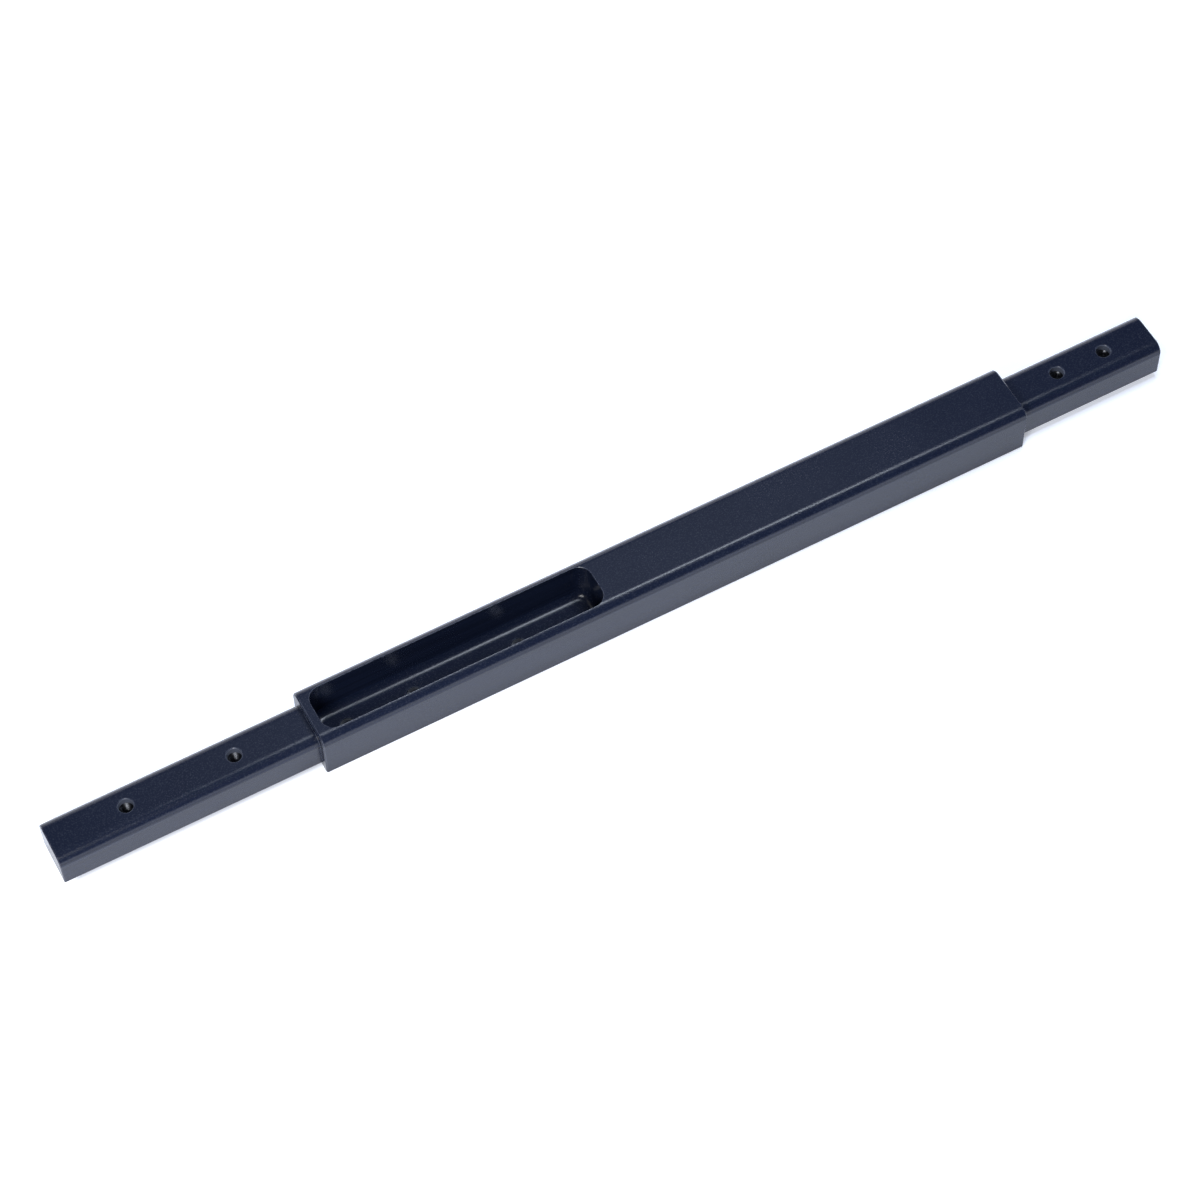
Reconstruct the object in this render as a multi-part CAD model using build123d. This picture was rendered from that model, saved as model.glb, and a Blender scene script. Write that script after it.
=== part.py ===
"""Adjustable spreader beam: a pocketed body with a bolted left arm and a sliding right arm.

Millimetres. +X runs along the beam towards the sliding arm, +Y is the far side and +Z is up.
The origin is the middle of the overall length and width, on the flat underside.
"""
from build123d import *
import os

# ---- how far a cutting shape runs past the face that it opens ----
OVERSHOOT = 1.0

# ---- body ----
BODY_LENGTH = 940.0
BODY_WIDTH = 80.0
BODY_HEIGHT = 70.0
BODY_TOP_RADIUS = 13.0
EDGE_BREAK = 1.8
END_CHAMFER = 1.5

# ---- arms ----
ARM_WIDTH = 60.0
ARM_HEIGHT = 49.0
ARM_TOP_RADIUS = 13.5
ARM_END_CHAMFER = 1.0
ARM_BOTTOM_Z = 10.0
ARM_TOP_Z = ARM_BOTTOM_Z + ARM_HEIGHT
LEFT_ARM_REACH = 322.0
RIGHT_ARM_REACH = 199.0
RIGHT_ARM_ENGAGED = 380.0

TOTAL_LENGTH = LEFT_ARM_REACH + BODY_LENGTH + RIGHT_ARM_REACH
LEFT_END = -TOTAL_LENGTH / 2
RIGHT_END = TOTAL_LENGTH / 2
BODY_LEFT = LEFT_END + LEFT_ARM_REACH
BODY_RIGHT = BODY_LEFT + BODY_LENGTH

# ---- load holes: clearance for an M16 bolt above a threaded steel insert ----
HOLE_RADIUS = 9.0
HOLE_CHAMFER = 0.8
LEFT_HOLE_X = (LEFT_END + 95.0, LEFT_END + 229.5)
RIGHT_HOLE_X = (RIGHT_END - 132.0, RIGHT_END - 65.5)
INSERT_BORE_RADIUS = 7.4
INSERT_RADIUS = 11.0
INSERT_FLANGE_RADIUS = 13.0
INSERT_FLANGE_THICKNESS = 3.0
INSERT_TOP_DEPTH = 9.0
INSERT_FIT = 0.02
INSERT_FLANGE_SINK = 0.3
INSERT_LEAD_IN = 0.8

# ---- pocket ----
POCKET_START = BODY_LEFT + 11.0
POCKET_LENGTH = 363.0
POCKET_WIDTH = 59.0
POCKET_FLOOR_Z = 12.0
POCKET_CORNER_RADIUS = 17.0
POCKET_FLOOR_FILLET = 11.0
POCKET_RIM_CHAMFER = 0.6
POCKET_HOLE_X = (BODY_LEFT + 47.0, BODY_LEFT + 133.0, BODY_LEFT + 270.0)

# ---- left arm joint: cap screws from inside the pocket, dowels in the web ----
SCREW_Y = 8.0
SCREW_Z = (36.0, 52.0)
SCREW_RADIUS = 4.0
SCREW_HEAD_RADIUS = 6.5
SCREW_HEAD_HEIGHT = 5.0
SCREW_SOCKET = 5.8
SCREW_SOCKET_DEPTH = 2.8
SCREW_HEAD_SINK = 3.5
SCREW_CLEARANCE_RADIUS = 4.5
SCREW_COUNTERBORE_RADIUS = 7.2
SCREW_TAP_RADIUS = 4.05
SCREW_LENGTH = 30.0
SCREW_TAP_DEPTH = 24.0
DOWEL_RADIUS = 5.0
DOWEL_Y = 20.0
DOWEL_Z = 21.0
DOWEL_IN_BODY = 8.0
DOWEL_IN_ARM = 18.0
DOWEL_END_GAP = 1.0
DOWEL_FIT = 0.01

# ---- sleeve bore for the right arm ----
SLEEVE_GAP = 1.0
SLEEVE_END_GAP = 5.0
TRAVEL_OUT = 160.0
TRAVEL_IN = 120.0
SLEEVE_DEPTH = RIGHT_ARM_ENGAGED + TRAVEL_IN + SLEEVE_END_GAP
SLEEVE_WIDTH = ARM_WIDTH + 2 * SLEEVE_GAP
SLEEVE_HEIGHT = ARM_HEIGHT + 2 * SLEEVE_GAP
SLEEVE_FLOOR_Z = ARM_BOTTOM_Z - SLEEVE_GAP
SLEEVE_CEILING_Z = ARM_TOP_Z + SLEEVE_GAP
ARM_TAIL = BODY_RIGHT - RIGHT_ARM_ENGAGED

# ---- guide pads, seated in shallow recesses ----
PAD_SIDES = ("top", "bottom", "near", "far")
PAD_THICKNESS = 3.0
PAD_RUN_GAP = 0.3
PAD_PROUD = SLEEVE_GAP - PAD_RUN_GAP
PAD_RECESS = PAD_THICKNESS - PAD_PROUD
PAD_SEAT_GAP = 0.05
PAD_LENGTH = 50.0
PAD_BREAK = 0.4
MOUTH_PAD_END = BODY_RIGHT - 8.0
TAIL_PAD_START = ARM_TAIL + 10.0
FLAT_PAD_WIDTH = 30.0
SIDE_PAD_HEIGHT = 26.0
SIDE_PAD_Z = 28.0
PAD_SCREW_RADIUS = 2.0
PAD_SCREW_HEAD_RADIUS = 3.6
PAD_SCREW_HEAD_HEIGHT = 1.6
PAD_SCREW_LENGTH = 9.0
PAD_SCREW_PITCH = 30.0
PAD_SCREW_SINK = 0.5
PAD_SCREW_SOCKET = 1.4
PAD_SCREW_SOCKET_DEPTH = 1.2
PAD_SCREW_GAP = 0.05

# ---- clamp and travel stop, reached from the underside ----
SET_SCREW_RADIUS = 5.0
SET_SCREW_THREAD_GAP = 0.05
SET_SCREW_SINK = 0.5
SET_SCREW_SOCKET = 2.9
SET_SCREW_SOCKET_DEPTH = 3.0
CLAMP_X = BODY_RIGHT - 98.0
CLAMP_SCREW_PITCH = 36.0
SHOE_LENGTH = 64.0
SHOE_WIDTH = 24.0
SHOE_THICKNESS = 3.0
SHOE_RUN_GAP = 0.2
SHOE_SEAT_GAP = 0.1
STOP_X = BODY_RIGHT - 145.0
STOP_DOG_RADIUS = 3.5
STOP_DOG_TOP_Z = ARM_BOTTOM_Z + 4.0
STOP_SHOULDER_Z = 8.5
STOP_SLOT_DEPTH = 5.0
STOP_SLOT_SIDE_GAP = 0.5
STOP_SLOT_END_GAP = 1.0


def bar(width, height, top_radius, bottom_radius, x_start, x_end, z_bottom):
    """A bar along X whose section has large top roundings and small bottom ones."""
    middle = z_bottom + height / 2
    with BuildPart() as part:
        with BuildSketch(Plane.YZ.offset(x_start)) as section:
            with Locations((0, middle)):
                Rectangle(width, height)
            # inside a sketch on Plane.YZ a corner's own Y is its height
            fillet(section.vertices().filter_by(lambda v: v.Y > middle), top_radius)
            fillet(section.vertices().filter_by(lambda v: v.Y < middle), bottom_radius)
        extrude(amount=x_end - x_start)
    return part.part


def upright_cylinder(radius, x, y, z_bottom, z_top):
    """A cylinder along Z between two heights."""
    shape = Cylinder(radius, z_top - z_bottom, align=(Align.CENTER, Align.CENTER, Align.MIN))
    return Pos(x, y, z_bottom) * shape


def lying_cylinder(radius, x_start, x_end, y, z):
    """A cylinder along X between two stations."""
    shape = Cylinder(radius, x_end - x_start, align=(Align.CENTER, Align.CENTER, Align.MIN))
    return Pos(x_start, y, z) * Rot(0, 90, 0) * shape


def block(x_start, x_end, y_start, y_end, z_start, z_end):
    """A box given by its limits."""
    shape = Box(x_end - x_start, y_end - y_start, z_end - z_start, align=(Align.MIN, Align.MIN, Align.MIN))
    return Pos(x_start, y_start, z_start) * shape


def lying_hex(across_corners, x_start, x_end, y, z):
    """A hexagonal prism along X, for a socket."""
    with BuildPart() as part:
        with BuildSketch(Plane.YZ.offset(x_start)):
            with Locations((y, z)):
                RegularPolygon(across_corners / 2, 6)
        extrude(amount=x_end - x_start)
    return part.part


def upright_hex(across_corners, x, y, z_start, z_end):
    """A hexagonal prism along Z, for a socket."""
    with BuildPart() as part:
        with BuildSketch(Plane.XY.offset(z_start)):
            with Locations((x, y)):
                RegularPolygon(across_corners / 2, 6)
        extrude(amount=z_end - z_start)
    return part.part


def chamfer_end(shape, x, size):
    """The shape with the outline of its end face at station x chamfered."""
    edges = shape.edges().filter_by(lambda edge: all(abs(v.X - x) < 0.001 for v in edge.vertices()))
    return shape.chamfer(size, None, edges)


def load_hole_tool(x):
    """What is cut from an arm for one load hole: a clearance hole above a stepped seat for the insert."""
    seat_top = ARM_TOP_Z - INSERT_TOP_DEPTH
    hole = upright_cylinder(HOLE_RADIUS, x, 0, seat_top, ARM_TOP_Z + OVERSHOOT)
    seat = upright_cylinder(INSERT_RADIUS + INSERT_FIT, x, 0, ARM_BOTTOM_Z - OVERSHOOT, seat_top)
    flange_top = ARM_BOTTOM_Z + INSERT_FLANGE_SINK + INSERT_FLANGE_THICKNESS
    flange = upright_cylinder(INSERT_FLANGE_RADIUS + INSERT_FIT, x, 0, ARM_BOTTOM_Z - OVERSHOOT, flange_top)
    edge_break = Cone(HOLE_RADIUS, HOLE_RADIUS + HOLE_CHAMFER, HOLE_CHAMFER)
    edge_break = Pos(x, 0, ARM_TOP_Z - HOLE_CHAMFER / 2) * edge_break
    return hole + seat + flange + edge_break


def threaded_insert(x):
    """A flanged steel insert with an M16 thread, drawn as a plain bore at the pitch diameter."""
    seat_top = ARM_TOP_Z - INSERT_TOP_DEPTH
    bottom = ARM_BOTTOM_Z + INSERT_FLANGE_SINK
    sleeve = upright_cylinder(INSERT_RADIUS, x, 0, bottom, seat_top)
    flange = upright_cylinder(INSERT_FLANGE_RADIUS, x, 0, bottom, bottom + INSERT_FLANGE_THICKNESS)
    insert = sleeve + flange
    insert -= upright_cylinder(INSERT_BORE_RADIUS, x, 0, bottom - OVERSHOOT, seat_top + OVERSHOOT)
    lead_in = Cone(INSERT_BORE_RADIUS + INSERT_LEAD_IN, INSERT_BORE_RADIUS, INSERT_LEAD_IN)
    insert -= Pos(x, 0, bottom + INSERT_LEAD_IN / 2) * lead_in
    insert -= Pos(x, 0, seat_top - INSERT_LEAD_IN / 2) * Rot(180, 0, 0) * lead_in
    return insert


def pad_limits(side, x_start, surface_offset, grow=0.0):
    """Limits of the box of one guide pad on a side of the arm's section.

    surface_offset is how far the pad's inner face lies outside the arm's surface.
    """
    ends = (x_start - grow, x_start + PAD_LENGTH + grow)
    inner = surface_offset - grow
    outer = surface_offset + PAD_THICKNESS + grow
    across = FLAT_PAD_WIDTH / 2 + grow
    upright = (SIDE_PAD_Z - SIDE_PAD_HEIGHT / 2 - grow, SIDE_PAD_Z + SIDE_PAD_HEIGHT / 2 + grow)
    if side == "top":
        return (*ends, -across, across, ARM_TOP_Z + inner, ARM_TOP_Z + outer)
    if side == "bottom":
        return (*ends, -across, across, ARM_BOTTOM_Z - outer, ARM_BOTTOM_Z - inner)
    if side == "far":
        return (*ends, ARM_WIDTH / 2 + inner, ARM_WIDTH / 2 + outer, *upright)
    return (*ends, -ARM_WIDTH / 2 - outer, -ARM_WIDTH / 2 - inner, *upright)


def guide_pad(side, x_start, surface_offset):
    """One plastic guide pad with its long edges broken."""
    pad = block(*pad_limits(side, x_start, surface_offset))
    return pad.chamfer(PAD_BREAK, None, pad.edges().filter_by(Axis.X))


def pad_screw_places():
    """Origin and outward direction of each tail pad screw, on the pads' outer faces."""
    middle = TAIL_PAD_START + PAD_LENGTH / 2
    half_width = ARM_WIDTH / 2 + PAD_PROUD
    places = {}
    for side, y, z, outward in (
        ("top", 0, ARM_TOP_Z + PAD_PROUD, (0, 0, 1)),
        ("bottom", 0, ARM_BOTTOM_Z - PAD_PROUD, (0, 0, -1)),
        ("far", half_width, SIDE_PAD_Z, (0, 1, 0)),
        ("near", -half_width, SIDE_PAD_Z, (0, -1, 0)),
    ):
        stations = (middle - PAD_SCREW_PITCH / 2, middle + PAD_SCREW_PITCH / 2)
        places[side] = [Plane(origin=(x, y, z), z_dir=outward) for x in stations]
    return places


def pad_screw_body(grow, head_rise):
    """A countersunk screw along -Z from the pad's face, widened by grow and opened above its head."""
    head_top = -PAD_SCREW_SINK
    head_bottom = head_top - PAD_SCREW_HEAD_HEIGHT
    head = Cone(PAD_SCREW_RADIUS + grow, PAD_SCREW_HEAD_RADIUS + grow, PAD_SCREW_HEAD_HEIGHT)
    body = Pos(0, 0, head_top - PAD_SCREW_HEAD_HEIGHT / 2) * head
    tip = head_top - PAD_SCREW_LENGTH - grow
    body += upright_cylinder(PAD_SCREW_RADIUS + grow, 0, 0, tip, head_bottom)
    if head_rise > 0:
        body += upright_cylinder(PAD_SCREW_HEAD_RADIUS + grow, 0, 0, head_top, head_top + head_rise)
    return body


def pad_screw():
    """One countersunk screw with a hexagon socket."""
    body = pad_screw_body(0.0, 0.0)
    top = -PAD_SCREW_SINK
    return body - upright_hex(2 * PAD_SCREW_SOCKET, 0, 0, top - PAD_SCREW_SOCKET_DEPTH, top + OVERSHOOT)


def set_screw_tool(x):
    """The tapped hole for a set screw in the body's bottom wall."""
    radius = SET_SCREW_RADIUS + SET_SCREW_THREAD_GAP
    return upright_cylinder(radius, x, 0, -OVERSHOOT, SLEEVE_FLOOR_Z + OVERSHOOT)


def set_screw(x, z_top):
    """A set screw from below with a hexagon socket."""
    screw = upright_cylinder(SET_SCREW_RADIUS, x, 0, SET_SCREW_SINK, z_top)
    socket_top = SET_SCREW_SINK + SET_SCREW_SOCKET_DEPTH
    return screw - upright_hex(2 * SET_SCREW_SOCKET, x, 0, SET_SCREW_SINK - OVERSHOOT, socket_top)


def clamp_stations():
    """X of the two clamp screws."""
    return (CLAMP_X - CLAMP_SCREW_PITCH / 2, CLAMP_X + CLAMP_SCREW_PITCH / 2)


def shoe_block(grow=0.0):
    """The clamp shoe's box, or the recess that seats it."""
    top = ARM_BOTTOM_Z - SHOE_RUN_GAP
    half_length = SHOE_LENGTH / 2 + grow
    half_width = SHOE_WIDTH / 2 + grow
    bottom = top - SHOE_THICKNESS - grow
    return block(CLAMP_X - half_length, CLAMP_X + half_length, -half_width, half_width, bottom, top)


def pocket_tool():
    """The pocket: upright walls, round corners in plan, a large floor fillet and a broken rim."""
    middle = POCKET_START + POCKET_LENGTH / 2
    with BuildPart() as part:
        with BuildSketch(Plane.XY.offset(POCKET_FLOOR_Z)):
            with Locations((middle, 0)):
                RectangleRounded(POCKET_LENGTH, POCKET_WIDTH, POCKET_CORNER_RADIUS)
        extrude(amount=BODY_HEIGHT)
        fillet(part.faces().sort_by(Axis.Z)[0].edges(), POCKET_FLOOR_FILLET)
    with BuildPart() as rim:
        with BuildSketch(Plane.XY.offset(BODY_HEIGHT - POCKET_RIM_CHAMFER)):
            with Locations((middle, 0)):
                RectangleRounded(POCKET_LENGTH, POCKET_WIDTH, POCKET_CORNER_RADIUS)
        extrude(amount=POCKET_RIM_CHAMFER + OVERSHOOT, taper=-45)
    return part.part + rim.part


def cap_screw_places():
    """Y and Z of the four cap screws that hold the left arm."""
    return [(y, z) for y in (-SCREW_Y, SCREW_Y) for z in SCREW_Z]


def beam_body():
    """The body: bar, pocket, floor holes, left joint holes, sleeve bore, pad seats and set screw holes."""
    body = bar(BODY_WIDTH, BODY_HEIGHT, BODY_TOP_RADIUS, EDGE_BREAK, BODY_LEFT, BODY_RIGHT, 0)
    body = chamfer_end(body, BODY_LEFT, END_CHAMFER)
    body = chamfer_end(body, BODY_RIGHT, END_CHAMFER)
    body -= pocket_tool()
    for x in POCKET_HOLE_X:
        body -= upright_cylinder(HOLE_RADIUS, x, 0, -OVERSHOOT, POCKET_FLOOR_Z + OVERSHOOT)
        floor_break = Cone(HOLE_RADIUS, HOLE_RADIUS + HOLE_CHAMFER, HOLE_CHAMFER)
        body -= Pos(x, 0, POCKET_FLOOR_Z - HOLE_CHAMFER / 2) * floor_break
        body -= Pos(x, 0, HOLE_CHAMFER / 2) * Rot(180, 0, 0) * floor_break
    for y, z in cap_screw_places():
        body -= lying_cylinder(SCREW_CLEARANCE_RADIUS, BODY_LEFT - OVERSHOOT, POCKET_START, y, z)
        sink_start = POCKET_START - SCREW_HEAD_SINK
        body -= lying_cylinder(SCREW_COUNTERBORE_RADIUS, sink_start, POCKET_START + OVERSHOOT, y, z)
    for y in (-DOWEL_Y, DOWEL_Y):
        dowel_end = BODY_LEFT + DOWEL_IN_BODY
        body -= lying_cylinder(DOWEL_RADIUS + DOWEL_FIT, BODY_LEFT - OVERSHOOT, dowel_end, y, DOWEL_Z)
    body -= sleeve_tool()
    for side in PAD_SIDES:
        start = MOUTH_PAD_END - PAD_LENGTH
        body -= block(*pad_limits(side, start, PAD_RUN_GAP, PAD_SEAT_GAP))
    body -= shoe_block(SHOE_SEAT_GAP)
    for x in (*clamp_stations(), STOP_X):
        body -= set_screw_tool(x)
    return body


def sleeve_tool():
    """The bore that the right arm slides in, open at the body's right end."""
    start = BODY_RIGHT - SLEEVE_DEPTH
    end = BODY_RIGHT + OVERSHOOT
    top_radius = ARM_TOP_RADIUS + SLEEVE_GAP
    return bar(SLEEVE_WIDTH, SLEEVE_HEIGHT, top_radius, EDGE_BREAK, start, end, SLEEVE_FLOOR_Z)


def left_arm():
    """The fixed arm, butted against the body's left end face."""
    arm = bar(ARM_WIDTH, ARM_HEIGHT, ARM_TOP_RADIUS, EDGE_BREAK, LEFT_END, BODY_LEFT, ARM_BOTTOM_Z)
    arm = chamfer_end(arm, LEFT_END, ARM_END_CHAMFER)
    for x in LEFT_HOLE_X:
        arm -= load_hole_tool(x)
    for y, z in cap_screw_places():
        tap_end = BODY_LEFT - SCREW_TAP_DEPTH
        arm -= lying_cylinder(SCREW_TAP_RADIUS, tap_end, BODY_LEFT + OVERSHOOT, y, z)
    for y in (-DOWEL_Y, DOWEL_Y):
        dowel_start = BODY_LEFT - DOWEL_IN_ARM
        arm -= lying_cylinder(DOWEL_RADIUS + DOWEL_FIT, dowel_start, BODY_LEFT + OVERSHOOT, y, DOWEL_Z)
    return arm


def right_arm():
    """The sliding arm, with the seats of its tail pads and the slot of the travel stop."""
    arm = bar(ARM_WIDTH, ARM_HEIGHT, ARM_TOP_RADIUS, EDGE_BREAK, ARM_TAIL, RIGHT_END, ARM_BOTTOM_Z)
    arm = chamfer_end(arm, RIGHT_END, ARM_END_CHAMFER)
    for x in RIGHT_HOLE_X:
        arm -= load_hole_tool(x)
    for side in PAD_SIDES:
        arm -= block(*pad_limits(side, TAIL_PAD_START, PAD_PROUD - PAD_THICKNESS, PAD_SEAT_GAP))
    for places in pad_screw_places().values():
        for place in places:
            arm -= place.location * pad_screw_body(PAD_SCREW_GAP, OVERSHOOT)
    reach = STOP_DOG_RADIUS + STOP_SLOT_END_GAP
    half_width = STOP_DOG_RADIUS + STOP_SLOT_SIDE_GAP
    slot_start = STOP_X - TRAVEL_OUT - reach
    slot_end = STOP_X + TRAVEL_IN + reach
    slot_top = ARM_BOTTOM_Z + STOP_SLOT_DEPTH
    arm -= block(slot_start + half_width, slot_end - half_width, -half_width, half_width, 0, slot_top)
    for x in (slot_start + half_width, slot_end - half_width):
        arm -= upright_cylinder(half_width, x, 0, 0, slot_top)
    return arm


def left_arm_screws():
    """Four low-head cap screws, heads sunk in the pocket's left end wall."""
    screws = []
    head_start = POCKET_START - SCREW_HEAD_SINK
    head_end = head_start + SCREW_HEAD_HEIGHT
    for y, z in cap_screw_places():
        screw = lying_cylinder(SCREW_HEAD_RADIUS, head_start, head_end, y, z)
        screw += lying_cylinder(SCREW_RADIUS, head_start - SCREW_LENGTH, head_start, y, z)
        screw -= lying_hex(SCREW_SOCKET, head_end - SCREW_SOCKET_DEPTH, head_end + OVERSHOOT, y, z)
        screws.append(screw)
    return Compound(screws)


def left_arm_dowels():
    """Two dowel pins across the joint of the left arm."""
    start = BODY_LEFT - DOWEL_IN_ARM + DOWEL_END_GAP
    end = BODY_LEFT + DOWEL_IN_BODY - DOWEL_END_GAP
    return Compound([lying_cylinder(DOWEL_RADIUS, start, end, y, DOWEL_Z) for y in (-DOWEL_Y, DOWEL_Y)])


def tail_pad(side):
    """One guide pad on the arm's tail, countersunk for its screws."""
    pad = guide_pad(side, TAIL_PAD_START, PAD_PROUD - PAD_THICKNESS)
    for place in pad_screw_places()[side]:
        pad -= place.location * pad_screw_body(PAD_SCREW_GAP, OVERSHOOT)
    return pad


def tail_pad_screws():
    """The eight countersunk screws of the tail pads."""
    return Compound([
        place.location * pad_screw()
        for places in pad_screw_places().values()
        for place in places
    ])


def clamp_screws():
    """Two set screws that press the shoe up against the arm."""
    top = ARM_BOTTOM_Z - SHOE_RUN_GAP - SHOE_THICKNESS
    return Compound([set_screw(x, top) for x in clamp_stations()])


def stop_screw():
    """The screw whose dog runs in the arm's slot."""
    screw = set_screw(STOP_X, STOP_SHOULDER_Z)
    return screw + upright_cylinder(STOP_DOG_RADIUS, STOP_X, 0, STOP_SHOULDER_Z, STOP_DOG_TOP_Z)


def pieces():
    """Every node of the part and its shape."""
    made = {
        "beam_body": beam_body(),
        "left_arm": left_arm(),
        "right_arm": right_arm(),
        "left_arm_inserts": Compound([threaded_insert(x) for x in LEFT_HOLE_X]),
        "right_arm_inserts": Compound([threaded_insert(x) for x in RIGHT_HOLE_X]),
        "left_arm_screws": left_arm_screws(),
        "left_arm_dowels": left_arm_dowels(),
        "clamp_shoe": shoe_block(),
        "clamp_screws": clamp_screws(),
        "stop_screw": stop_screw(),
        "tail_pad_screws": tail_pad_screws(),
    }
    for side in PAD_SIDES:
        made["mouth_pad_" + side] = guide_pad(side, MOUTH_PAD_END - PAD_LENGTH, PAD_RUN_GAP)
        made["tail_pad_" + side] = tail_pad(side)
    return made


def main():
    os.makedirs("parts", exist_ok=True)
    for name, shape in pieces().items():
        export_step(shape, "parts/" + name + ".step")


main()
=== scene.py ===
"""Looks of the adjustable spreader beam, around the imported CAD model. Metres, in the row frame."""
import math

import bpy
from mathutils import Euler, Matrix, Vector


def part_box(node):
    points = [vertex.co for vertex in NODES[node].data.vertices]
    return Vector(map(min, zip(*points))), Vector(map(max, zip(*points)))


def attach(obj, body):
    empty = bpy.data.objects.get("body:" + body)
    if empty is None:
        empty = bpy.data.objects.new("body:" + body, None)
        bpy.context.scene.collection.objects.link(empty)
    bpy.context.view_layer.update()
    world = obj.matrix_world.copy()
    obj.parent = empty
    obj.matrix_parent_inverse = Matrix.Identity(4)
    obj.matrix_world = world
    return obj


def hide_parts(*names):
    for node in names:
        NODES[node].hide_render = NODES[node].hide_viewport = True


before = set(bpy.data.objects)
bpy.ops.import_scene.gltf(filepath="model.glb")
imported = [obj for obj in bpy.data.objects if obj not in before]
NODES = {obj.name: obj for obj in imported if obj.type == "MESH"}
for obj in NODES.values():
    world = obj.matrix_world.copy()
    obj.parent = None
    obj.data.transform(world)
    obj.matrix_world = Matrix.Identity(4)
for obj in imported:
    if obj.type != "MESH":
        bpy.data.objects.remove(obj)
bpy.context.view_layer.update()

# ---- camera ----
CAMERA_PLACE = (-1.02230, -1.93718, 3.43334)
CAMERA_TURN = (32.5632, 0.8916, -28.5027)
LENS_MM = 103.46
SENSOR_MM = 36.0

NEAR_CLIP = 0.1
FAR_CLIP = 50.0

# ---- room and light table, lengths in metres ----
FLOOR_HALF = 40.0
ROOM_STRENGTH = 0.10
TABLE_GLOW_LEFT = 0.66
TABLE_GLOW_RIGHT = 0.36
TABLE_GLOW_AROUND = 1.5
TABLE_GLOW_LEFT_MARGIN = 2.0
TABLE_GLOW_RIGHT_MARGIN = 1.0
TABLE_GLOW_END = 0.8
GLOW_AROUND_FROM = 0.06
GLOW_AROUND_FULL = 0.22
LEFT_MARGIN = (-0.74, -0.78)
RIGHT_MARGIN = (0.74, 0.80)
# painted shadow on the light table under the body and the left arm:
PAINTED_SHADOW_HALF_WIDTH = (0.024, 0.030)
PAINTED_SHADOW_LEFT_END = (-0.71, -0.72)
PAINTED_SHADOW_RIGHT_END = (0.50, 0.52)
TABLE_ROUGHNESS = 0.85
TABLE_GRAIN_SCALE = 300.0
TABLE_GRAIN_DEPTH = 0.0001
TABLE_GRAIN_STRENGTH = 0.05

# ---- colours, linear ----
ANODISED = (0.0060, 0.0098, 0.0255)
BORED_METAL = (0.13, 0.15, 0.21)
# paler tone of worn specks and edges; on the edges it is also a painted highlight
ANODISED_WORN_AND_HIGHLIGHT = (0.15, 0.17, 0.22)
FLOOR = (0.86, 0.89, 0.97)
SKY = (0.72, 0.76, 0.86)
PAD_COLOUR = (0.66, 0.63, 0.56)

# ---- anodised finish: noise scales per metre, depths in metres ----
OXIDE_IOR = 1.39
GRAIN_SCALE = 1500.0
COARSE_SCALE = 620.0
SPECK_SCALE = 640.0
CLOUD_SCALE = 9.0
STREAK_SCALE = 420.0
STREAK_STRETCH = (0.012, 1.0, 1.0)
WEAR_SCALE = 160.0
EDGE_RADIUS = 0.0010
# how far the edges turn paler: wear and a painted highlight
EDGE_WEAR_AND_HIGHLIGHT = 0.80
SPECK_SHARE = 0.09
SPECK_SHARE_ON_SIDES = 0.25
GRAIN_DEPTH = 0.00022
GRAIN_STRENGTH = 0.36
LINE_DEPTH = 0.00003
LINE_STRENGTH = 0.25
BORED_METALLIC = 0.4
BORED_ROUGHER = 0.35
HOLE_WALL = 0.0091
HOLE_WALL_BLEND = 0.0003

# ---- plain metals: colour, lowest and highest roughness, grain scale, grain depth ----
METALS = {
    "insert_steel": ((0.05, 0.053, 0.06), 0.26, 0.40, 3000.0, 0.00002),
    "black_steel": ((0.055, 0.055, 0.06), 0.32, 0.45, 3200.0, 0.00002),
    "dowel_steel": ((0.55, 0.56, 0.58), 0.18, 0.3, 4000.0, 0.00001),
    "shoe_brass": ((0.62, 0.46, 0.20), 0.25, 0.4, 2500.0, 0.00002),
    "zinc_screw": ((0.52, 0.54, 0.58), 0.22, 0.36, 3500.0, 0.00001),
}
METAL_CLOUD_SCALE = 120.0
METAL_GRAIN_STRENGTH = 0.3
METAL_EDGE_RADIUS = 0.0003
METAL_EDGE_WEAR = 0.6
PAD_CLOUD_SCALE = 60.0
PAD_LINE_SCALE = 900.0
PAD_LINE_STRETCH = (0.05, 1.0, 1.0)
PAD_LINE_DEPTH = 0.00004
PAD_LINE_STRENGTH = 0.3

# ---- threaded inserts: metres, and for the thread's profile shares of the pitch ----
INSERT_STEPS = 72
ROWS_PER_PITCH = 12
THREAD_PITCH = 0.002
THREAD_CREST = 0.0070
THREAD_ROOT = 0.0080
LEAD_IN_RADIUS = 0.0086
INSERT_RADIUS = 0.0110
KNURL_DEPTH = 0.0002
INSERT_EDGE = 0.0003
FLANGE_RADIUS = 0.0130
FLANGE_THICK = 0.0030
CREST_END = 0.25
ROOT_START = 0.56
ROOT_END = 0.69
KNURL_STEPS = 3
SHARP_ANGLE = 25.0


def material(name):
    """A material with an empty node tree but for its shader and output."""
    made = bpy.data.materials.new(name)
    made.use_nodes = True
    return made, Tree(made.node_tree)


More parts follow.
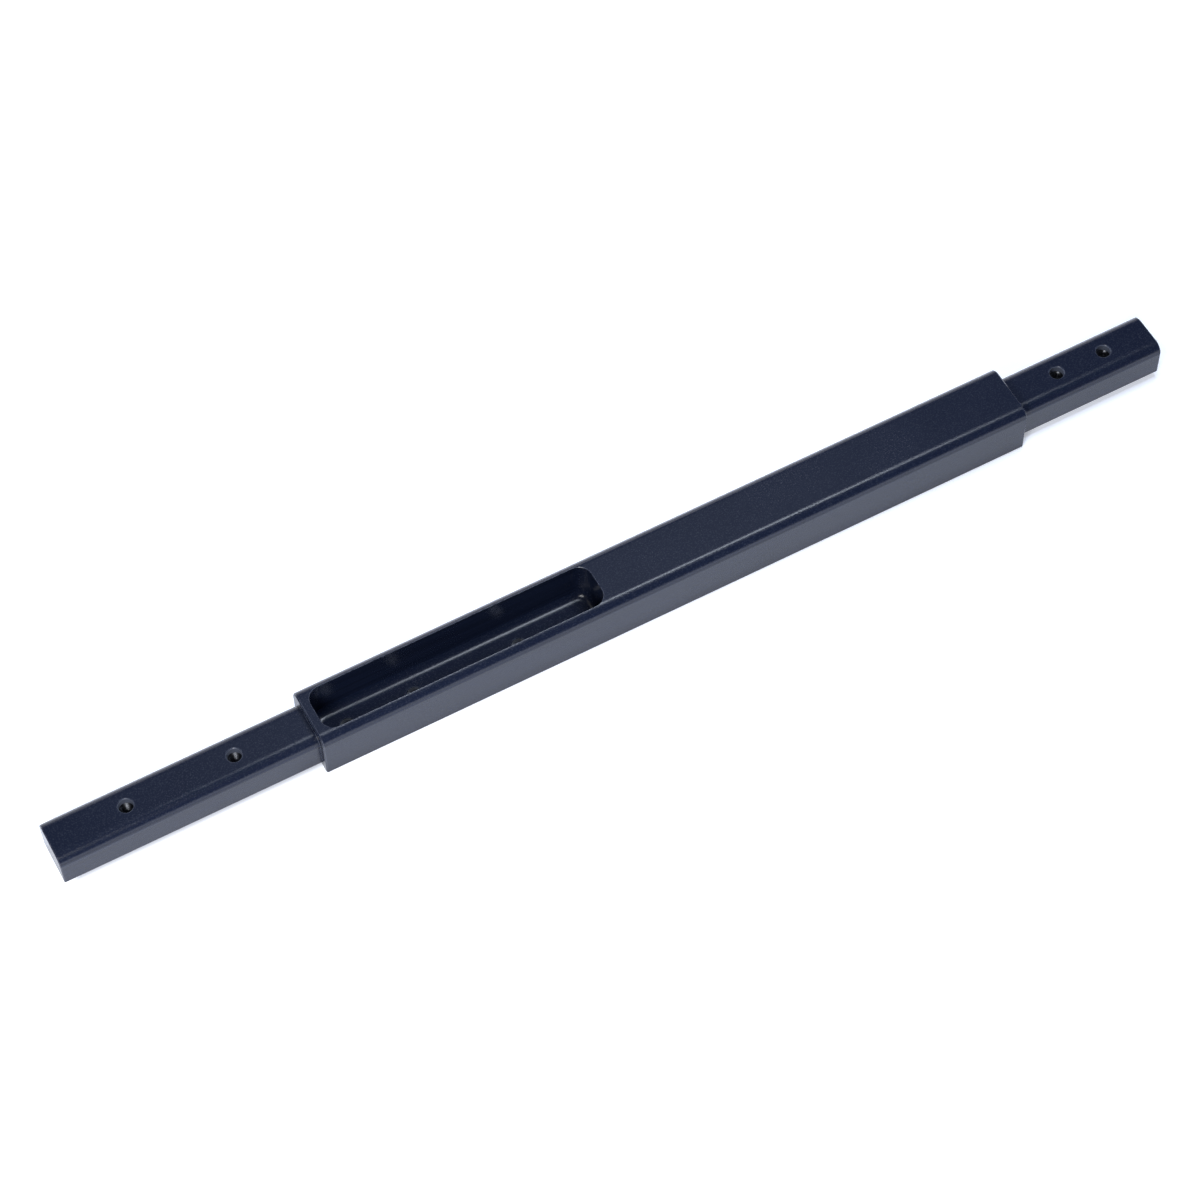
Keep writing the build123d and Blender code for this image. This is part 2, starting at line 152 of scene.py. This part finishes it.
class Tree:
    """Short ways to add and join the nodes of one material."""

    def __init__(self, tree):
        self.tree = tree
        self.shader = tree.nodes["Principled BSDF"]
        self.place = self.node("ShaderNodeTexCoord").outputs["Object"]
        self.normal = self.node("ShaderNodeNewGeometry").outputs["Normal"]

    def node(self, kind, **settings):
        made = self.tree.nodes.new(kind)
        for key, value in settings.items():
            setattr(made, key, value)
        return made

    def join(self, source, socket):
        if hasattr(source, "node"):
            self.tree.links.new(source, socket)
        else:
            socket.default_value = source

    def math(self, operation, a, b=0.0):
        made = self.node("ShaderNodeMath", operation=operation)
        self.join(a, made.inputs[0])
        self.join(b, made.inputs[1])
        return made.outputs[0]

    def axis(self, vector, name):
        """One axis of a vector."""
        split = self.node("ShaderNodeSeparateXYZ")
        self.join(vector, split.inputs[0])
        return split.outputs[name]

    def scaled(self, scale):
        """The place, stretched by a number for each axis."""
        made = self.node("ShaderNodeMapping")
        self.join(self.place, made.inputs["Vector"])
        made.inputs["Scale"].default_value = scale
        return made.outputs["Vector"]

    def noise(self, scale, detail=2.0, stretch=(1.0, 1.0, 1.0)):
        made = self.node("ShaderNodeTexNoise")
        self.join(self.scaled(stretch), made.inputs["Vector"])
        made.inputs["Scale"].default_value = scale
        made.inputs["Detail"].default_value = detail
        return made.outputs["Fac"]

    def ramp(self, value, low, high, to_low=0.0, to_high=1.0):
        """The value mapped from low..high to to_low..to_high, held at both ends."""
        made = self.node("ShaderNodeMapRange")
        for socket, given in zip(made.inputs[:5], (value, low, high, to_low, to_high)):
            self.join(given, socket)
        return made.outputs[0]

    def mix(self, share, a, b):
        made = self.node("ShaderNodeMix", data_type="RGBA")
        self.join(share, made.inputs[0])
        for given, socket in ((a, made.inputs[6]), (b, made.inputs[7])):
            self.join((*given, 1.0) if isinstance(given, tuple) else given, socket)
        return made.outputs[2]

    def tint(self, share, colour, low, high):
        """A colour that varies between low and high times itself."""
        return self.mix(share, tuple(c * low for c in colour), tuple(c * high for c in colour))

    def bump(self, height, distance, strength, below=None):
        made = self.node("ShaderNodeBump")
        made.inputs["Strength"].default_value = strength
        made.inputs["Distance"].default_value = distance
        self.join(height, made.inputs["Height"])
        if below is not None:
            self.join(below, made.inputs["Normal"])
        return made.outputs["Normal"]

    def edges(self, radius):
        """1 on edges and 0 on faces, from how far a rounded normal leans from the plain one."""
        bevel = self.node("ShaderNodeBevel", samples=6)
        bevel.inputs["Radius"].default_value = radius
        dot = self.node("ShaderNodeVectorMath", operation="DOT_PRODUCT")
        self.join(bevel.outputs["Normal"], dot.inputs[0])
        self.join(self.normal, dot.inputs[1])
        return self.ramp(dot.outputs["Value"], 0.995, 0.90)

    def finish(self, colour, roughness, normal, metallic):
        self.join(colour, self.shader.inputs["Base Color"])
        self.join(roughness, self.shader.inputs["Roughness"])
        self.join(normal, self.shader.inputs["Normal"])
        self.shader.inputs["Metallic"].default_value = metallic


def anodised(name, holes=()):
    """Dark blue-black anodised aluminium: blasted grain, faint drawing lines along X, and paler edges that
    are partly rubbed wear and partly a painted highlight.
    Holes are the X places of upright holes, whose bored walls are brighter."""
    made, t = material(name)
    coarse = t.noise(COARSE_SCALE, 1.0)
    cloud = t.noise(CLOUD_SCALE, 3.0)
    streak = t.noise(STREAK_SCALE, 2.0, STREAK_STRETCH)
    side = t.ramp(t.math("ABSOLUTE", t.axis(t.normal, "Y")), 0.85, 0.98)
    base = t.tint(cloud, ANODISED, 0.90, 1.10)
    streaked = t.tint(t.ramp(streak, 0.35, 0.65), ANODISED, 0.75, 1.30)
    base = t.mix(t.math("MULTIPLY", side, 0.9), base, streaked)
    patches = t.ramp(t.noise(WEAR_SCALE, 4.0), 0.30, 0.52)
    # painted highlight and wear: edges made paler in patches, as if worn and catching light
    edge_lightening = t.math("MULTIPLY", t.math("MULTIPLY", t.edges(EDGE_RADIUS), patches), EDGE_WEAR_AND_HIGHLIGHT)
    speck = t.ramp(t.noise(SPECK_SCALE, 1.0), 0.52, 0.70, 0.0, SPECK_SHARE)
    speck = t.math("MULTIPLY", speck, t.ramp(side, 0.0, 1.0, 1.0, SPECK_SHARE_ON_SIDES))
    colour = t.mix(speck, t.mix(edge_lightening, base, ANODISED_WORN_AND_HIGHLIGHT), ANODISED_WORN_AND_HIGHLIGHT)
    rough = t.ramp(coarse, 0.3, 0.7, 0.18, 0.26)
    rough = t.math("ADD", rough, t.ramp(cloud, 0.3, 0.7, -0.02, 0.03))
    lines = t.bump(t.math("MULTIPLY", streak, side), LINE_DEPTH, LINE_STRENGTH)
    grain = t.math("ADD", t.noise(GRAIN_SCALE, 2.0), coarse)
    t.finish(colour, rough, t.bump(grain, GRAIN_DEPTH, GRAIN_STRENGTH, lines), 0.0)
    t.shader.inputs["IOR"].default_value = OXIDE_IOR
    if holes:
        bore_walls(t, holes, colour, rough)
    return made


def bore_walls(t, holes, colour, rough):
    """Gives the walls of upright holes on the centreline their own brighter, rougher metal."""
    bored = 0.0
    for x in holes:
        away = t.node("ShaderNodeVectorMath", operation="DISTANCE")
        t.join(t.scaled((1.0, 1.0, 0.0)), away.inputs[0])
        away.inputs[1].default_value = (x, 0.0, 0.0)
        inside = t.ramp(away.outputs["Value"], HOLE_WALL, HOLE_WALL + HOLE_WALL_BLEND, 1.0, 0.0)
        bored = t.math("MAXIMUM", inside, bored)
    rougher = t.math("MULTIPLY", bored, BORED_ROUGHER)
    t.join(t.mix(bored, colour, BORED_METAL), t.shader.inputs["Base Color"])
    t.join(t.math("MULTIPLY", bored, BORED_METALLIC), t.shader.inputs["Metallic"])
    t.join(t.math("ADD", rough, rougher), t.shader.inputs["Roughness"])


def plain_metal(name, colour, rough_low, rough_high, grain_scale, depth):
    """A metal with fine grain, cloudy roughness and brighter edges."""
    made, t = material(name)
    cloud = t.noise(METAL_CLOUD_SCALE, 3.0)
    grain = t.noise(grain_scale, 2.0)
    worn = tuple(min(1.0, c * 1.5 + 0.04) for c in colour)
    base = t.tint(cloud, colour, 0.85, 1.12)
    edge_lightening = t.math("MULTIPLY", t.edges(METAL_EDGE_RADIUS), METAL_EDGE_WEAR)
    rubbed = t.mix(edge_lightening, base, worn)
    rough = t.ramp(cloud, 0.3, 0.7, rough_low, rough_high)
    t.finish(rubbed, rough, t.bump(grain, depth, METAL_GRAIN_STRENGTH), 1.0)
    return made


def plastic(name, colour):
    """A low-friction plastic with a faint machined grain."""
    made, t = material(name)
    cloud = t.noise(PAD_CLOUD_SCALE, 3.0)
    lines = t.noise(PAD_LINE_SCALE, 2.0, PAD_LINE_STRETCH)
    base = t.tint(cloud, colour, 0.92, 1.06)
    rough = t.ramp(lines, 0.3, 0.7, 0.42, 0.55)
    t.finish(base, rough, t.bump(lines, PAD_LINE_DEPTH, PAD_LINE_STRENGTH), 0.0)
    return made


def dress():
    """Puts each detailed finish in place of the CAD material of the same slot."""
    finishes = {
        "dark_anodised": anodised("dark_anodised_finish"),
        "pad_plastic": plastic("pad_plastic_finish", PAD_COLOUR),
    }
    for name, look in METALS.items():
        finishes[name] = plain_metal(name + "_finish", *look)
    for node in NODES.values():
        for holder in node.material_slots:
            name = holder.material.name.split(".")[0]
            holder.material = finishes[name]
    for arm in ("left_arm", "right_arm"):
        NODES[arm].material_slots[0].material = anodised(arm + "_finish", insert_places(arm + "_inserts"))
    threaded_inserts("left_arm_inserts", "beam", finishes["insert_steel"])
    threaded_inserts("right_arm_inserts", "sliding_arm", finishes["insert_steel"])


def insert_places(node):
    """The X places of a node's two inserts, from its box."""
    low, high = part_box(node)
    return low.x + FLANGE_RADIUS, high.x - FLANGE_RADIUS


def thread_radius(phase):
    """Radius of an internal metric thread at a share of its pitch: crest, flank, root, flank."""
    depth = THREAD_ROOT - THREAD_CREST
    if phase < CREST_END:
        return THREAD_CREST
    if phase < ROOT_START:
        return THREAD_CREST + depth * (phase - CREST_END) / (ROOT_START - CREST_END)
    if phase < ROOT_END:
        return THREAD_ROOT
    return THREAD_ROOT - depth * (phase - ROOT_END) / (1.0 - ROOT_END)


def insert_rings(low, high):
    """The rings of one threaded insert, from the bore's foot up, over the top and down the outside."""
    rings = []
    rows = round((high - low) / THREAD_PITCH * ROWS_PER_PITCH)
    for row in range(rows + 1):
        z = low + (high - low) * row / rows
        lead_in = LEAD_IN_RADIUS - min(z - low, high - z)
        ring = []
        for step in range(INSERT_STEPS):
            phase = ((z - low) / THREAD_PITCH - step / INSERT_STEPS) % 1.0
            ring.append((max(thread_radius(phase), lead_in), z))
        rings.append(ring)
    grooves = [KNURL_DEPTH if step % KNURL_STEPS == 0 else 0.0 for step in range(INSERT_STEPS)]
    knurl = [INSERT_RADIUS - groove for groove in grooves]
    rings.append([(INSERT_RADIUS - 2 * INSERT_EDGE, high)] * INSERT_STEPS)
    rings.append([(r - KNURL_DEPTH, high - INSERT_EDGE) for r in knurl])
    rings.append([(r, high - 3 * INSERT_EDGE) for r in knurl])
    rings.append([(r, low + FLANGE_THICK + INSERT_EDGE) for r in knurl])
    neck = INSERT_RADIUS - KNURL_DEPTH
    top = low + FLANGE_THICK
    for r, z in (
        (neck, top),
        (FLANGE_RADIUS - INSERT_EDGE, top),
        (FLANGE_RADIUS, top - INSERT_EDGE),
        (FLANGE_RADIUS, low + INSERT_EDGE),
        (FLANGE_RADIUS - INSERT_EDGE, low),
    ):
        rings.append([(r, z)] * INSERT_STEPS)
    return rings


def threaded_inserts(node, body, finish):
    """Inserts with a real thread, in place of the plain bored ones of a CAD node."""
    low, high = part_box(node)
    verts, faces = [], []
    rings = insert_rings(low.z, high.z)
    for centre in insert_places(node):
        first = len(verts)
        for ring in rings:
            for step, (r, z) in enumerate(ring):
                turn = 2 * math.pi * step / INSERT_STEPS
                verts.append((centre + r * math.cos(turn), r * math.sin(turn), z))
        for row in range(len(rings)):
            here = first + row * INSERT_STEPS
            over = first + (row + 1) % len(rings) * INSERT_STEPS
            for step in range(INSERT_STEPS):
                after = (step + 1) % INSERT_STEPS
                faces.append((here + step, over + step, over + after, here + after))
    mesh = bpy.data.meshes.new(node + "_threaded")
    mesh.from_pydata(verts, [], faces)
    mesh.shade_smooth()
    mesh.set_sharp_from_angle(angle=math.radians(SHARP_ANGLE))
    mesh.materials.append(finish)
    made = bpy.data.objects.new(node + "_threaded", mesh)
    bpy.context.scene.collection.objects.link(made)
    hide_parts(node)
    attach(made, body)


def table_glow(t):
    """How strongly the light table glows, laid out as painted light: more to the left, away from the part and
    past its ends.
    Right under the body and the left arm it is dark, a painted shadow, so that the holes there look dark from
    above."""
    x = t.axis(t.place, "X")
    aside = t.math("ABSOLUTE", t.axis(t.place, "Y"))
    # painted light: the glow is stronger to the left, past the ends and away from the part
    glow = t.ramp(x, -TABLE_GLOW_END, TABLE_GLOW_END, TABLE_GLOW_LEFT, TABLE_GLOW_RIGHT)
    for more in (
        t.ramp(aside, GLOW_AROUND_FROM, GLOW_AROUND_FULL, 0.0, TABLE_GLOW_AROUND),
        t.ramp(x, *LEFT_MARGIN, 0.0, TABLE_GLOW_LEFT_MARGIN),
        t.ramp(x, *RIGHT_MARGIN, 0.0, TABLE_GLOW_RIGHT_MARGIN),
    ):
        glow = t.math("MAXIMUM", glow, more)
    # painted shadow: the table does not glow right under the body and the left arm
    outside_painted_shadow = t.ramp(aside, *PAINTED_SHADOW_HALF_WIDTH)
    for beyond in (t.ramp(x, *PAINTED_SHADOW_LEFT_END), t.ramp(x, *PAINTED_SHADOW_RIGHT_END)):
        outside_painted_shadow = t.math("MAXIMUM", outside_painted_shadow, beyond)
    return t.math("MULTIPLY", glow, outside_painted_shadow)


def floor():
    """A pale light table under the part, whose glow carries painted light and a painted shadow."""
    mesh = bpy.data.meshes.new("floor")
    corners = [(x * FLOOR_HALF, y * FLOOR_HALF, 0.0) for x, y in ((-1, -1), (1, -1), (1, 1), (-1, 1))]
    mesh.from_pydata(corners, [], [(0, 1, 2, 3)])
    ground = bpy.data.objects.new("floor", mesh)
    bpy.context.scene.collection.objects.link(ground)
    made, t = material("floor_finish")
    grain = t.bump(t.noise(TABLE_GRAIN_SCALE), TABLE_GRAIN_DEPTH, TABLE_GRAIN_STRENGTH)
    t.finish((*FLOOR, 1.0), TABLE_ROUGHNESS, grain, 0.0)
    t.shader.inputs["Emission Color"].default_value = (*FLOOR, 1.0)
    t.join(table_glow(t), t.shader.inputs["Emission Strength"])
    mesh.materials.append(made)


def card(name, place, aim, size, radiance, colour):
    """A rectangular soft box turned to a point. A white floor in full light has a radiance of 1."""
    data = bpy.data.lights.new(name, "AREA")
    data.shape = "RECTANGLE"
    data.size, data.size_y = size
    data.energy = math.pi * size[0] * size[1] * radiance
    data.color = colour
    lamp = bpy.data.objects.new(name, data)
    lamp.location = place
    lamp.rotation_euler = (Vector(aim) - Vector(place)).to_track_quat("-Z", "Y").to_euler()
    lamp.visible_camera = False
    bpy.context.scene.collection.objects.link(lamp)


def studio():
    """Soft studio light: two cards overhead, a key box on the left, a back wall and a dim room.
    Each card has its place, its aim, its size, its radiance and its colour."""
    card("overhead_strip", (0.60, 0.09, 2.2), (0.60, 0.09, 0.0), (1.15, 0.72), 14.0, (0.80, 0.88, 1.0))
    card("overhead_soft", (0.42, 1.25, 2.2), (0.42, 1.25, 0.0), (1.6, 1.0), 0.55, (0.82, 0.90, 1.0))
    card("left_key", (-1.3, -1.25, 1.45), (-0.4, 0.0, 0.0), (0.8, 0.8), 19.0, (1.0, 1.0, 1.0))
    card("back_wall", (0.5, 3.2, 1.0), (0.5, 0.0, 1.0), (7.0, 2.0), 1.5, (0.86, 0.88, 1.0))
    world = bpy.data.worlds.new("studio_room")
    bpy.context.scene.world = world
    world.use_nodes = True
    back = world.node_tree.nodes["Background"]
    back.inputs["Color"].default_value = (*SKY, 1.0)
    back.inputs["Strength"].default_value = ROOM_STRENGTH


def camera():
    """The photograph's view."""
    data = bpy.data.cameras.new("camera")
    data.lens = LENS_MM
    data.sensor_width = SENSOR_MM
    data.clip_start = NEAR_CLIP
    data.clip_end = FAR_CLIP
    made = bpy.data.objects.new("camera", data)
    made.location = CAMERA_PLACE
    made.rotation_euler = Euler([math.radians(a) for a in CAMERA_TURN], "XYZ")
    bpy.context.scene.collection.objects.link(made)
    bpy.context.scene.camera = made


camera()
dress()
floor()
studio()
bpy.context.scene.view_settings.view_transform = "Standard"

bpy.context.view_layer.update()
